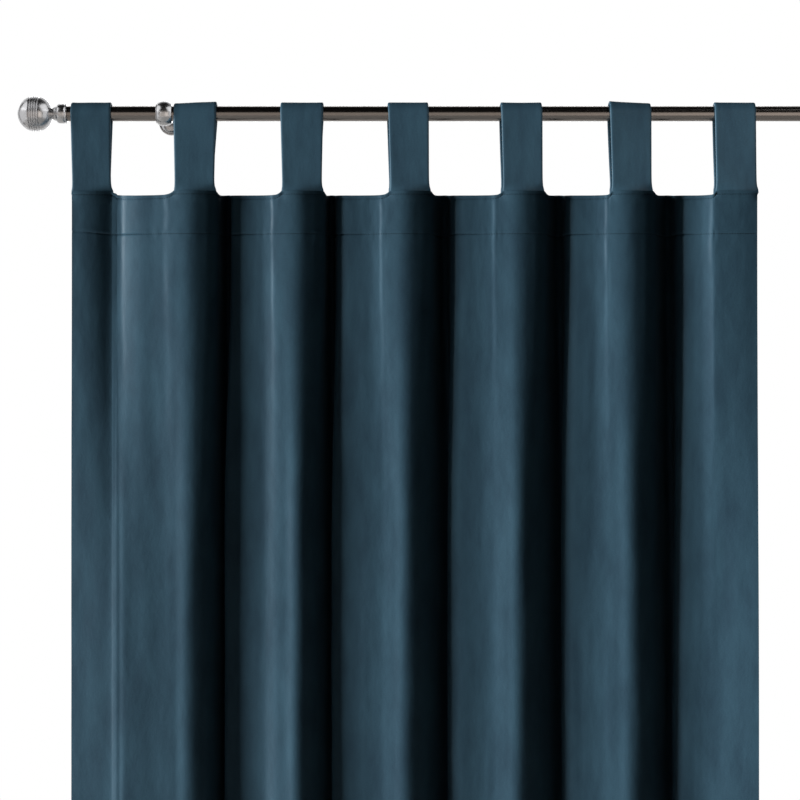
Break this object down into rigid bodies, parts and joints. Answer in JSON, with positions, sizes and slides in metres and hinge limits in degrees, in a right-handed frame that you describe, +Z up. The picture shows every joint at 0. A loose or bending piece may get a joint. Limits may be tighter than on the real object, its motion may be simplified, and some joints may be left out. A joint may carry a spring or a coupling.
{
  "type": "tab top curtain on a rod",
  "caption": "Velvet curtain panel hanging in deep soft folds from sewn cloth tabs over a metal rod with ball ends and wall brackets.",
  "frame": {"origin": "centre of the left wall rose's back face, on the wall", "axes": "+Y into the wall, +X along the rod to the right of someone facing the curtain, +Z up"},
  "size_m": [1.3954, 0.1277, 2.6158],
  "materials": {
    "velvet": "soft matt pile with a faint sheen",
    "rod_steel": "dark satin tube",
    "satin_chrome": "satin"
  },
  "bodies": {
    "root": {"panel": "velvet", "heading_facing": "velvet", "tab_1": "velvet", "tab_2": "velvet", "tab_3": "velvet", "tab_4": "velvet", "tab_5": "velvet", "tab_6": "velvet", "tab_7": "velvet", "rod": "rod_steel", "finial_left": "satin_chrome", "finial_right": "satin_chrome", "bracket_collar_left": "satin_chrome", "bracket_collar_right": "satin_chrome", "bracket_arm_left": "satin_chrome", "bracket_arm_right": "satin_chrome", "wall_rose_left": "satin_chrome", "wall_rose_right": "satin_chrome"}
  },
  "joints": []
}
